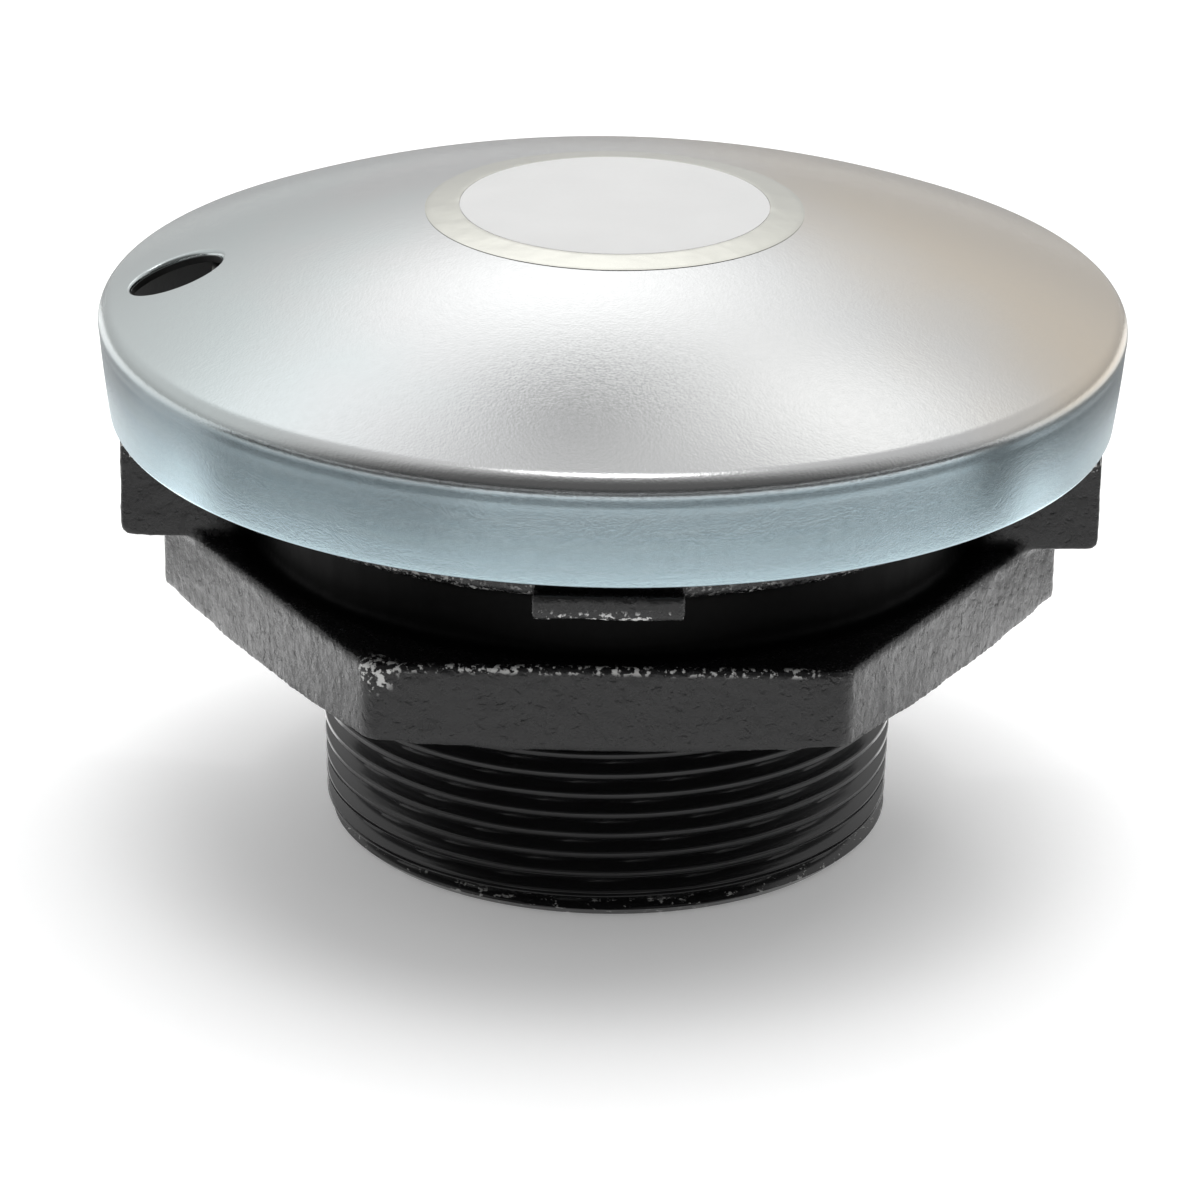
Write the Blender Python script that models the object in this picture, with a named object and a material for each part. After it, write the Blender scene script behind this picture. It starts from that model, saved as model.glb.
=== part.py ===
"""Vented bayonet fuel cap on a threaded cast iron base.

The base screws into a tank bung by its tapered pipe thread. The pressed steel cap drops over the
neck, and turning it draws two tongues under the ramped lips cast inside the neck. A pressure valve
and a vacuum valve sit in the middle of the cap. Lengths are metres and +Z is up. The origin is the
centre of the spigot's end face, on the axis that every round piece shares.
"""
from math import asin, cos, pi, radians, sin, sqrt

import bmesh
import bpy
from mathutils import Matrix

MM = 0.001

# Gaps between pieces
SEAT_GAP = 0.3 * MM
RUNNING_GAP = 0.5 * MM

# Base casting, from the spigot up
PIPE_DIAMETER = 60.3 * MM
PIPE_TAPER = 1 / 16
SPIGOT_LENGTH = 23.3 * MM
SPIGOT_CHAMFER = 1.2 * MM
SPIGOT_WALL = 4.65 * MM
THREAD_PITCH = 25.4 / 11.5 * MM
THREAD_DEPTH = 1.0 * MM
THREAD_CREST = 0.5 * MM
HEX_SHOULDER = 3.5 * MM
HEX_HEIGHT = 9.0 * MM
HEX_CORNER_ROUND = 1.2 * MM
HEX_CHAMFER_DEPTH = 1.0 * MM
NECK_RADIUS = 37.0 * MM
NECK_WALL = 4.0 * MM
NECK_RISE = 7.5 * MM
NECK_FILLET = 1.6 * MM
FLANGE_WIDTH = 5.0 * MM
FLANGE_HEIGHT = 8.0 * MM
FLANGE_EDGE = 0.8 * MM
LUG_WIDTH = 14.5 * MM
LUG_INSET = 0.8 * MM
LUG_EDGE = 1.2 * MM
LUG_STEP = 0.2 * MM
GUIDE_LUG_RISE = 1.2 * MM
EAR_SINK = 0.3 * MM
SKIRT_LEDGE_CLEARANCE = 1.0 * MM

# Bayonet lips, tongues and their travel
LIP_CLEARANCE = 1.8 * MM
LIP_RECESS = 0.4 * MM
LIP_THICKNESS = 4.0 * MM
STOP_DEPTH = 8.0 * MM
SLOT_AZIMUTH = 45.0
TONGUE_SPAN = 34.0
SLOT_CLEARANCE = 5.0
STOP_CLEARANCE = 3.0
STOP_FACE_LEAN = 0.5
TURN_TRAVEL = 75.0
TURN_LEFT_TO_TIGHTEN = 17.0
CAM_LIFT = 1.2 * MM
TONGUE_WALL_CLEARANCE = 0.8 * MM

# Cap shell
SHELL_THICKNESS = 1.2 * MM
SKIRT_OVERLAP = 2.9 * MM
SKIRT_HEIGHT = 11.9 * MM
SKIRT_DRAW_IN = 0.2 * MM
SHOULDER_OVERHANG = 9.2 * MM
SHOULDER_ROUND = 2.2 * MM
DOME_RISE = 10.4 * MM
PADLOCK_HOLE_DIAMETER = 9.4 * MM
PADLOCK_HOLE_REACH = 44.5 * MM
PADLOCK_HOLE_AZIMUTH = 184.0

# Sticker on the crown
LABEL_RADIUS = 16.0 * MM
LABEL_BORDER_WIDTH = 3.0 * MM
LABEL_THICKNESS = 0.25 * MM

# Bayonet plate
PLATE_THICKNESS = 1.6 * MM
PLATE_RIM_INSET = 1.0 * MM
PLATE_CLEARANCE = 2.6 * MM
PLATE_BEND = 0.3 * MM
PLATE_VENT_COUNT = 6
PLATE_VENT_DIAMETER = 4.0 * MM

# Gasket, its carrier and spring
GASKET_THICKNESS = 1.7 * MM
CARRIER_THICKNESS = 1.0 * MM
COLLAR_HEIGHT = 3.6 * MM
SEAL_WIDTH = 1.5 * MM
SEAL_HEIGHT = 2.2 * MM
SLIP_WASHER_THICKNESS = 0.8 * MM
SPRING_STRIP_WIDTH = 5.8 * MM
SPRING_STRIP_THICKNESS = 0.5 * MM
SPRING_WAVES = 5

# Vent valve body and what is fixed to it
BARREL_RADIUS = 12.9 * MM
BARREL_BELOW_NUT = 5.0 * MM
BARREL_WALL = 4.3 * MM
BODY_FLANGE_MARGIN = 1.7 * MM
BODY_FLANGE_THICKNESS = 1.8 * MM
SEAT_RIDGE_WIDTH = 1.4 * MM
SEAT_RIDGE_HEIGHT = 1.2 * MM
WASHER_THICKNESS = 0.8 * MM
NUT_WALL = 4.1 * MM
NUT_HEIGHT = 3.5 * MM
SCREEN_THICKNESS = 0.6 * MM
SCREEN_LEDGE = 1.0 * MM
SCREEN_HOLE_DIAMETER = 1.6 * MM
SCREEN_RING_PITCH = 2.9 * MM
GUARD_WALL = 1.1 * MM
GUARD_DROP = 5.0 * MM
GUARD_WINDOW_WIDTH = 9.0 * MM

# Pressure valve
PRESSURE_TRAVEL = 2.5 * MM
DISC_RADIUS = 14.3 * MM
DISC_THICKNESS = 1.2 * MM
DISC_RIM_WIDTH = 0.8 * MM
DISC_PORT_COUNT = 4
DISC_PORT_DIAMETER = 2.4 * MM
DISC_PORT_REACH = 4.4 * MM
DISC_SEAL_THICKNESS = 1.1 * MM
DISC_SEAL_WIDTH = 4.2 * MM
PRESSURE_SPRING_RADIUS = 10.5 * MM
PRESSURE_WIRE = 1.1 * MM
PRESSURE_TURNS = 4.0

# Vacuum valve
VACUUM_TRAVEL = 1.8 * MM
STEM_RADIUS = 1.5 * MM
STEM_TIP = 0.5 * MM
CLIP_GROOVE_DEPTH = 0.4 * MM
CLIP_RADIUS = 4.0 * MM
CLIP_THICKNESS = 0.6 * MM
POPPET_CLEARANCE = 2.0 * MM
POPPET_THICKNESS = 1.4 * MM
VACUUM_SEAL_INSET = 0.4 * MM
VACUUM_SPRING_RADIUS = 2.7 * MM
VACUUM_WIRE = 0.5 * MM
VACUUM_TURNS = 3.25
VACUUM_COIL_SPARE = 0.175 * MM

# Cage over the pressure spring
CAGE_WALL = 1.0 * MM
CAGE_BASE_WIDTH = 5.0 * MM
CAGE_HEADROOM = 0.4 * MM
CAGE_WINDOW_WIDTH = 15.0 * MM
CAGE_STEM_CLEARANCE = 0.7 * MM
SCREW_COUNT = 3
SCREW_RADIUS = 0.9 * MM
SCREW_HEAD_RADIUS = 1.5 * MM
SCREW_HEAD_HEIGHT = 1.0 * MM
SCREW_GRIP = 1.2 * MM

# Facets
LARGE_STEPS = 60
RING_STEPS = 48
SMALL_STEPS = 28
HOLE_SIDES = 16
TINY_SIDES = 8
COIL_STEPS = 12
CUT_OVERRUN = 1.0 * MM

# Radii that follow from the sizes above, from the neck outwards and then from the valve outwards
BORE_RADIUS = PIPE_DIAMETER / 2 - SPIGOT_WALL
HEX_FLAT_REACH = NECK_RADIUS + HEX_SHOULDER
CHAMBER_RADIUS = NECK_RADIUS - NECK_WALL
FLANGE_RADIUS = NECK_RADIUS + FLANGE_WIDTH
SHOULDER_RADIUS = FLANGE_RADIUS + SHOULDER_OVERHANG
SKIRT_BOTTOM_RADIUS = SHOULDER_RADIUS - SKIRT_DRAW_IN
LUG_REACH = SKIRT_BOTTOM_RADIUS - LUG_INSET
TONGUE_REACH = CHAMBER_RADIUS - TONGUE_WALL_CLEARANCE
PLATE_RIM_RADIUS = FLANGE_RADIUS - PLATE_RIM_INSET
DISC_SEAL_RADIUS = DISC_RADIUS - DISC_RIM_WIDTH - SEAT_GAP
SEAT_RIDGE_RADIUS = DISC_SEAL_RADIUS - DISC_SEAL_WIDTH / 2
CAGE_RADIUS = DISC_RADIUS + RUNNING_GAP + SEAT_GAP
SCREW_CIRCLE = CAGE_RADIUS + (CAGE_WALL + CAGE_BASE_WIDTH) / 2
BODY_FLANGE_RADIUS = CAGE_RADIUS + CAGE_BASE_WIDTH + BODY_FLANGE_MARGIN
PLATE_WALL_RADIUS = BODY_FLANGE_RADIUS + PLATE_CLEARANCE + PLATE_THICKNESS
LIP_RADIUS = PLATE_WALL_RADIUS + LIP_CLEARANCE
CARRIER_BORE = PLATE_WALL_RADIUS + RUNNING_GAP
COLLAR_RADIUS = PLATE_WALL_RADIUS + SEAT_GAP + SEAL_WIDTH + SEAT_GAP
SPRING_MEAN_RADIUS = (COLLAR_RADIUS + CARRIER_THICKNESS + FLANGE_RADIUS) / 2
VALVE_BORE_RADIUS = BARREL_RADIUS - BARREL_WALL
SCREEN_BORE_RADIUS = VALVE_BORE_RADIUS + SCREEN_LEDGE
POPPET_RADIUS = VALVE_BORE_RADIUS - POPPET_CLEARANCE
VACUUM_SEAL_RADIUS = POPPET_RADIUS - VACUUM_SEAL_INSET

# Heights that follow, from the spigot up
HEX_TOP = SPIGOT_LENGTH + HEX_HEIGHT
FLANGE_BOTTOM = HEX_TOP + NECK_RISE
RIM = FLANGE_BOTTOM + FLANGE_HEIGHT
SKIRT_BOTTOM = RIM - SKIRT_OVERLAP
SKIRT_LEDGE = SKIRT_BOTTOM - SKIRT_LEDGE_CLEARANCE
SHOULDER = SKIRT_BOTTOM + SKIRT_HEIGHT
DOME_RADIUS = (SHOULDER_RADIUS ** 2 + DOME_RISE ** 2) / (2 * DOME_RISE)
DOME_CENTRE = SHOULDER + DOME_RISE - DOME_RADIUS
DOME_EDGE_SLOPE = asin(SHOULDER_RADIUS / DOME_RADIUS)
LIP_TOP = RIM - LIP_RECESS
LIP_TIGHT_UNDERSIDE = LIP_TOP - LIP_THICKNESS
LIFT_PER_DEGREE = CAM_LIFT / TURN_TRAVEL
TONGUE_TOP = LIP_TIGHT_UNDERSIDE - SEAT_GAP + LIFT_PER_DEGREE * TURN_LEFT_TO_TIGHTEN
FLOOR_BOTTOM = TONGUE_TOP - PLATE_THICKNESS
TONGUE_AZIMUTH = SLOT_AZIMUTH - (TURN_TRAVEL - TURN_LEFT_TO_TIGHTEN)
PLATE_TOP = (DOME_CENTRE + sqrt((DOME_RADIUS - SHELL_THICKNESS) ** 2 - PLATE_RIM_RADIUS ** 2)
             - SEAT_GAP)
PLATE_UNDERSIDE = PLATE_TOP - PLATE_THICKNESS
GASKET_BOTTOM = RIM + SEAT_GAP
CARRIER_BOTTOM = GASKET_BOTTOM + GASKET_THICKNESS + SEAT_GAP
CARRIER_TOP = CARRIER_BOTTOM + CARRIER_THICKNESS
SLIP_WASHER_BOTTOM = PLATE_UNDERSIDE - SEAT_GAP - SLIP_WASHER_THICKNESS
SPRING_BOTTOM = CARRIER_TOP + SEAT_GAP
SPRING_TOP = SLIP_WASHER_BOTTOM - SEAT_GAP
WASHER_BOTTOM = TONGUE_TOP + SEAT_GAP
BODY_FLANGE_BOTTOM = WASHER_BOTTOM + WASHER_THICKNESS + SEAT_GAP
BODY_FLANGE_TOP = BODY_FLANGE_BOTTOM + BODY_FLANGE_THICKNESS
NUT_BOTTOM = FLOOR_BOTTOM - SEAT_GAP - NUT_HEIGHT
BARREL_BOTTOM = NUT_BOTTOM - BARREL_BELOW_NUT
SCREEN_TOP = BARREL_BOTTOM + SCREEN_LEDGE + SCREEN_THICKNESS
DISC_SEAL_BOTTOM = BODY_FLANGE_TOP + SEAT_RIDGE_HEIGHT + SEAT_GAP
DISC_BOTTOM = DISC_SEAL_BOTTOM + DISC_SEAL_THICKNESS + SEAT_GAP
DISC_TOP = DISC_BOTTOM + DISC_THICKNESS
COIL_BOTTOM = DISC_TOP + SEAT_GAP
VACUUM_SPRING_HEIGHT = VACUUM_TURNS * VACUUM_WIRE + VACUUM_TRAVEL + VACUUM_COIL_SPARE
CLIP_BOTTOM = COIL_BOTTOM + VACUUM_SPRING_HEIGHT + SEAT_GAP
STEM_TOP = CLIP_BOTTOM + CLIP_THICKNESS + STEM_TIP
CAGE_ROOF = STEM_TOP + PRESSURE_TRAVEL + CAGE_HEADROOM
CAGE_BOTTOM = BODY_FLANGE_TOP + SEAT_GAP


def clear_scene():
    for thing in list(bpy.data.objects):
        bpy.data.objects.remove(thing, do_unlink=True)


def make_material(name, colour, roughness, metallic):
    material = bpy.data.materials.new(name)
    material.use_nodes = True
    shader = material.node_tree.nodes["Principled BSDF"]
    shader.inputs["Base Color"].default_value = (*colour, 1)
    shader.inputs["Roughness"].default_value = roughness
    shader.inputs["Metallic"].default_value = metallic
    return material


def make_axis(name, parent=None):
    """An empty on the cap's axis, which a body's pieces hang from."""
    axis = bpy.data.objects.new(name, None)
    bpy.context.scene.collection.objects.link(axis)
    axis.parent = parent
    return axis


def add_piece(name, bm, material, axis):
    """Close a bmesh into a named object on its body's axis."""
    bmesh.ops.recalc_face_normals(bm, faces=bm.faces)
    mesh = bpy.data.meshes.new(name)
    bm.to_mesh(mesh)
    bm.free()
    mesh.materials.append(material)
    mesh.shade_smooth()
    mesh.set_sharp_from_angle(angle=radians(35))
    piece = bpy.data.objects.new(name, mesh)
    piece.parent = axis
    bpy.context.scene.collection.objects.link(piece)
    return piece


def combine(piece, name, bm, operation):
    """Join a form to a piece, or cut it out, with an exact Boolean."""
    tool = add_piece(name, bm, piece.data.materials[0], piece.parent)
    tool.hide_render = True
    tool.display_type = "WIRE"
    step = piece.modifiers.new(name, "BOOLEAN")
    step.operation = operation
    step.solver = "EXACT"
    step.object = tool


def turn(outline, steps, bm=None):
    """Revolve (radius, height) points about Z. An outline that starts on the axis ends on it."""
    bm = bm or bmesh.new()
    ring = [bm.verts.new((radius, 0, height)) for radius, height in outline]
    edges = [bm.edges.new(pair) for pair in zip(ring, ring[1:])]
    if outline[0][0] > 0:
        edges.append(bm.edges.new((ring[-1], ring[0])))
    bmesh.ops.spin(bm, geom=ring + edges, axis=(0, 0, 1), angle=2 * pi, steps=steps, use_merge=True)
    bmesh.ops.remove_doubles(bm, verts=bm.verts, dist=MM / 10000)
    return bm


def washer(inner, outer, bottom, top, steps=SMALL_STEPS):
    return turn([(inner, bottom), (outer, bottom), (outer, top), (inner, top)], steps)


def add_rod(bm, radius, bottom, top, reach=0.0, azimuth=0.0, sides=HOLE_SIDES):
    """Add an upright cylinder at a distance from the axis."""
    place = Matrix.Rotation(radians(azimuth), 4, "Z") @ Matrix.Translation(
        (reach, 0, (bottom + top) / 2))
    bmesh.ops.create_cone(bm, cap_ends=True, segments=sides, radius1=radius, radius2=radius,
                          depth=top - bottom, matrix=place)


def add_bar(bm, width, reach, bottom, top, azimuth):
    """Add a box that lies across the axis."""
    size = Matrix.Diagonal((2 * reach, width, top - bottom, 1))
    middle = Matrix.Translation((0, 0, (bottom + top) / 2))
    turned_bar = Matrix.Rotation(radians(azimuth), 4, "Z") @ middle @ size
    bmesh.ops.create_cube(bm, size=1, matrix=turned_bar)


def add_sector(bm, inner, outer, underside, top, angles):
    """Add an arc of a ring whose underside height is a function of the azimuth."""
    sections = []
    for angle in angles:
        across, along = cos(radians(angle)), sin(radians(angle))
        corners = [(inner, underside(angle)), (outer, underside(angle)), (outer, top), (inner, top)]
        sections.append([bm.verts.new((r * across, r * along, z)) for r, z in corners])
    for near, far in zip(sections, sections[1:]):
        for i in range(4):
            j = (i + 1) % 4
            bm.faces.new((near[i], near[j], far[j], far[i]))
    bm.faces.new(sections[0])
    bm.faces.new(sections[-1])


def spread(start, end, count):
    return [start + (end - start) * i / count for i in range(count + 1)]


def arc(radius, centre_radius, centre_height, start, end, count):
    """Outline points on a circle, with angles in degrees from the horizontal."""
    return [(centre_radius + radius * cos(radians(a)), centre_height + radius * sin(radians(a)))
            for a in spread(start, end, count)]


def make_lug(bottom):
    """One lug of the flange: its side outline, extruded to the lug's width.

    Below the ledge it stands out under the skirt's edge, and above it fits inside the skirt.
    """
    bm = bmesh.new()
    guide_reach = sqrt((SKIRT_BOTTOM_RADIUS - SHELL_THICKNESS - RUNNING_GAP) ** 2
                       - (LUG_WIDTH / 2) ** 2)
    root = CHAMBER_RADIUS + NECK_WALL / 2
    top = RIM - LUG_STEP
    outline = [(root, bottom)]
    outline += arc(LUG_EDGE, LUG_REACH - LUG_EDGE, bottom + LUG_EDGE, -90, 0, 3)
    outline += [(LUG_REACH, SKIRT_LEDGE), (guide_reach, SKIRT_LEDGE),
                (guide_reach, top - FLANGE_EDGE), (guide_reach - FLANGE_EDGE, top), (root, top)]
    face = bm.faces.new([bm.verts.new((x, -LUG_WIDTH / 2, z)) for x, z in outline])
    side = bmesh.ops.extrude_face_region(bm, geom=[face])["geom"]
    moved = [v for v in side if isinstance(v, bmesh.types.BMVert)]
    bmesh.ops.translate(bm, verts=moved, vec=(0, LUG_WIDTH, 0))
    return bm


def lip_underside(azimuth):
    """Ramp of a lip: lowest where the cap is tight, then a full-depth stop."""
    back = (SLOT_AZIMUTH - azimuth) % 180
    tight_edge = TURN_TRAVEL + TONGUE_SPAN / 2
    if back >= tight_edge + STOP_CLEARANCE:
        return LIP_TOP - STOP_DEPTH
    return LIP_TIGHT_UNDERSIDE + LIFT_PER_DEGREE * (tight_edge - back)


def make_base(iron, axis):
    """The casting: solid outside first, then the core is taken out and the lips added."""
    pipe_radius = PIPE_DIAMETER / 2
    spigot_end = pipe_radius - SPIGOT_LENGTH * PIPE_TAPER / 2
    inside_hex = SPIGOT_LENGTH + HEX_HEIGHT / 4
    outline = [(0, 0), (spigot_end - SPIGOT_CHAMFER, 0)]
    for ridge in range(int((SPIGOT_LENGTH - SPIGOT_CHAMFER) / THREAD_PITCH)):
        low = SPIGOT_CHAMFER + ridge * THREAD_PITCH
        groove = low + (THREAD_PITCH + THREAD_CREST) / 2
        crest = spigot_end + low * PIPE_TAPER / 2
        outline += [(crest, low), (crest, low + THREAD_CREST), (crest - THREAD_DEPTH, groove)]
    outline += [(pipe_radius, SPIGOT_LENGTH - THREAD_CREST), (pipe_radius, inside_hex),
                (NECK_RADIUS, inside_hex), (NECK_RADIUS, FLANGE_BOTTOM - NECK_FILLET),
                (NECK_RADIUS + NECK_FILLET, FLANGE_BOTTOM),
                (FLANGE_RADIUS - FLANGE_EDGE, FLANGE_BOTTOM),
                (FLANGE_RADIUS, FLANGE_BOTTOM + FLANGE_EDGE), (FLANGE_RADIUS, RIM - FLANGE_EDGE),
                (FLANGE_RADIUS - FLANGE_EDGE, RIM), (0, RIM)]
    base = add_piece("base_casting", turn(outline, LARGE_STEPS), iron, axis)

    flat = HEX_FLAT_REACH
    corner = flat / cos(pi / 6)
    bm = bmesh.new()
    add_rod(bm, corner, SPIGOT_LENGTH, HEX_TOP, azimuth=30, sides=6)
    upright = [e for e in bm.edges if abs(e.verts[0].co.z - e.verts[1].co.z) > HEX_HEIGHT / 2]
    bmesh.ops.bevel(bm, geom=upright, offset=HEX_CORNER_ROUND, segments=3, profile=0.5,
                    affect="EDGES")
    combine(base, "hex_form", bm, "UNION")
    slope = HEX_CHAMFER_DEPTH / (corner - flat)
    outer = corner + CUT_OVERRUN
    below = SPIGOT_LENGTH - CUT_OVERRUN * slope
    cone = [(flat - CUT_OVERRUN, below), (outer, below),
            (outer, SPIGOT_LENGTH + (outer - flat) * slope)]
    combine(base, "hex_chamfer_cutter", turn(cone, LARGE_STEPS), "DIFFERENCE")

    for azimuth in (0, 90, 180, 270):
        is_ear = azimuth % 180 == 0
        bm = make_lug(HEX_TOP - EAR_SINK if is_ear else FLANGE_BOTTOM + GUIDE_LUG_RISE)
        bmesh.ops.rotate(bm, verts=bm.verts, matrix=Matrix.Rotation(radians(azimuth), 3, "Z"))
        combine(base, f"lug_form_{azimuth}", bm, "UNION")

    ledge = FLANGE_BOTTOM - NECK_FILLET
    core = [(0, -CUT_OVERRUN), (BORE_RADIUS, -CUT_OVERRUN),
            (BORE_RADIUS, ledge - (CHAMBER_RADIUS - BORE_RADIUS)),
            (CHAMBER_RADIUS, ledge), (CHAMBER_RADIUS, RIM + CUT_OVERRUN), (0, RIM + CUT_OVERRUN)]
    combine(base, "core", turn(core, LARGE_STEPS), "DIFFERENCE")

    half_slot = TONGUE_SPAN / 2 + SLOT_CLEARANCE
    stop = TURN_TRAVEL + TONGUE_SPAN / 2 + STOP_CLEARANCE
    bm = bmesh.new()
    for slot in (SLOT_AZIMUTH, SLOT_AZIMUTH + 180):
        back = spread(half_slot, stop - STOP_FACE_LEAN, 12) + spread(stop, 180 - half_slot, 10)
        add_sector(bm, LIP_RADIUS, CHAMBER_RADIUS + NECK_WALL / 4, lip_underside, LIP_TOP,
                   [slot - b for b in back])
    combine(base, "lip_form", bm, "UNION")
    return base


def make_cap_shell(zinc, axis):
    """Pressed dome, rounded shoulder and a skirt that draws in a little to its edge."""
    slope = DOME_EDGE_SLOPE * 180 / pi
    shoulder_centre = (SHOULDER_RADIUS - SHOULDER_ROUND * sin(DOME_EDGE_SLOPE),
                       SHOULDER - SHOULDER_ROUND * cos(DOME_EDGE_SLOPE))

    def side(offset, dome_rings, shoulder_rings):
        dome = arc(DOME_RADIUS - offset, 0, DOME_CENTRE, 90, 90 - slope, dome_rings)
        shoulder = arc(SHOULDER_ROUND - offset, *shoulder_centre, 90 - slope, 0, shoulder_rings)
        edge = (SKIRT_BOTTOM_RADIUS - offset, SKIRT_BOTTOM)
        return [(0, dome[0][1])] + dome[1:-1] + shoulder + [edge]

    outline = side(0, 8, 4) + side(SHELL_THICKNESS, 5, 2)[::-1]
    shell = add_piece("cap_shell", turn(outline, LARGE_STEPS), zinc, axis)
    bm = bmesh.new()
    add_rod(bm, PADLOCK_HOLE_DIAMETER / 2, SHOULDER - SKIRT_HEIGHT / 2,
            SHOULDER + DOME_RISE, PADLOCK_HOLE_REACH, PADLOCK_HOLE_AZIMUTH, SMALL_STEPS)
    combine(shell, "padlock_drill", bm, "DIFFERENCE")


def make_sticker(paper, film, axis):
    """A disc and its border ring, both bent to the crown."""
    def layer(inner, outer, rings):
        under = DOME_RADIUS + SEAT_GAP
        over = under + LABEL_THICKNESS
        angle = [asin(r / DOME_RADIUS) for r in spread(inner, outer, rings)]
        bottom = [(under * sin(a), DOME_CENTRE + under * cos(a)) for a in angle]
        top = [(over * sin(a), DOME_CENTRE + over * cos(a)) for a in angle]
        return turn(bottom + top[::-1], LARGE_STEPS)

    add_piece("label_disc", layer(0, LABEL_RADIUS, 3), paper, axis)
    inner = LABEL_RADIUS + SEAT_GAP
    add_piece("label_border", layer(inner, inner + LABEL_BORDER_WIDTH, 1), film, axis)


def make_bayonet_plate(steel, axis):
    """Pressed hat. Its brim is cut back to two tongues, and its flange is welded to the dome."""
    wall = PLATE_WALL_RADIUS
    inside = wall - PLATE_THICKNESS
    hole = BARREL_RADIUS + SEAT_GAP
    outline = [(PLATE_RIM_RADIUS, PLATE_TOP), (PLATE_RIM_RADIUS, PLATE_UNDERSIDE),
               (wall, PLATE_UNDERSIDE), (wall, TONGUE_TOP), (TONGUE_REACH, TONGUE_TOP),
               (TONGUE_REACH, FLOOR_BOTTOM), (hole, FLOOR_BOTTOM), (hole, TONGUE_TOP),
               (inside, TONGUE_TOP), (inside, PLATE_TOP)]
    plate = add_piece("bayonet_plate", turn(outline, LARGE_STEPS), steel, axis)
    bm = bmesh.new()
    for tongue in (TONGUE_AZIMUTH, TONGUE_AZIMUTH + 180):
        add_sector(bm, wall + PLATE_BEND, TONGUE_REACH + CUT_OVERRUN,
                   lambda azimuth: FLOOR_BOTTOM - CUT_OVERRUN, TONGUE_TOP + CUT_OVERRUN,
                   spread(tongue + TONGUE_SPAN / 2, tongue + 180 - TONGUE_SPAN / 2, 18))
    combine(plate, "tongue_cutter", bm, "DIFFERENCE")
    bm = bmesh.new()
    vent_reach = wall + RUNNING_GAP + PLATE_VENT_DIAMETER / 2
    for number in range(PLATE_VENT_COUNT):
        add_rod(bm, PLATE_VENT_DIAMETER / 2, PLATE_UNDERSIDE - CUT_OVERRUN, PLATE_TOP + CUT_OVERRUN,
                vent_reach, 360 * number / PLATE_VENT_COUNT)
    combine(plate, "vent_drill", bm, "DIFFERENCE")


def make_gasket_stack(steel, rubber, spring_steel, carrier_axis, slip_axis):
    """What seals the cap on the neck: gasket, carrier, inner seal, wave spring and slip washer."""
    gasket = washer(CHAMBER_RADIUS + SEAT_GAP, FLANGE_RADIUS - FLANGE_EDGE, GASKET_BOTTOM,
                    GASKET_BOTTOM + GASKET_THICKNESS, RING_STEPS)
    add_piece("neck_gasket", gasket, rubber, carrier_axis)

    outline = [(CARRIER_BORE, CARRIER_BOTTOM), (FLANGE_RADIUS - FLANGE_EDGE, CARRIER_BOTTOM),
               (FLANGE_RADIUS - FLANGE_EDGE, CARRIER_TOP),
               (COLLAR_RADIUS + CARRIER_THICKNESS, CARRIER_TOP),
               (COLLAR_RADIUS + CARRIER_THICKNESS, CARRIER_BOTTOM + COLLAR_HEIGHT),
               (COLLAR_RADIUS, CARRIER_BOTTOM + COLLAR_HEIGHT), (COLLAR_RADIUS, CARRIER_TOP),
               (CARRIER_BORE, CARRIER_TOP)]
    add_piece("gasket_carrier", turn(outline, RING_STEPS), steel, carrier_axis)
    seal_bottom = CARRIER_TOP + SEAT_GAP
    seal = washer(PLATE_WALL_RADIUS + SEAT_GAP, COLLAR_RADIUS - SEAT_GAP, seal_bottom,
                  seal_bottom + SEAL_HEIGHT, RING_STEPS)
    add_piece("inner_seal", seal, rubber, carrier_axis)

    bm = bmesh.new()
    wave = (SPRING_TOP - SPRING_BOTTOM - SPRING_STRIP_THICKNESS) / 2
    inner = SPRING_MEAN_RADIUS - SPRING_STRIP_WIDTH / 2
    outer = SPRING_MEAN_RADIUS + SPRING_STRIP_WIDTH / 2
    sections = []
    for step in range(LARGE_STEPS):
        angle = 2 * pi * step / LARGE_STEPS
        low = SPRING_BOTTOM + wave * (1 - cos(SPRING_WAVES * angle))
        high = low + SPRING_STRIP_THICKNESS
        sections.append([bm.verts.new((r * cos(angle), r * sin(angle), z))
                         for r, z in ((inner, low), (outer, low), (outer, high), (inner, high))])
    for near, far in zip(sections, sections[1:] + sections[:1]):
        for i in range(4):
            j = (i + 1) % 4
            bm.faces.new((near[i], near[j], far[j], far[i]))
    add_piece("wave_spring", bm, spring_steel, slip_axis)
    slip = washer(inner, outer, SLIP_WASHER_BOTTOM, SLIP_WASHER_BOTTOM + SLIP_WASHER_THICKNESS,
                  RING_STEPS)
    add_piece("slip_washer", slip, steel, slip_axis)


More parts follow.
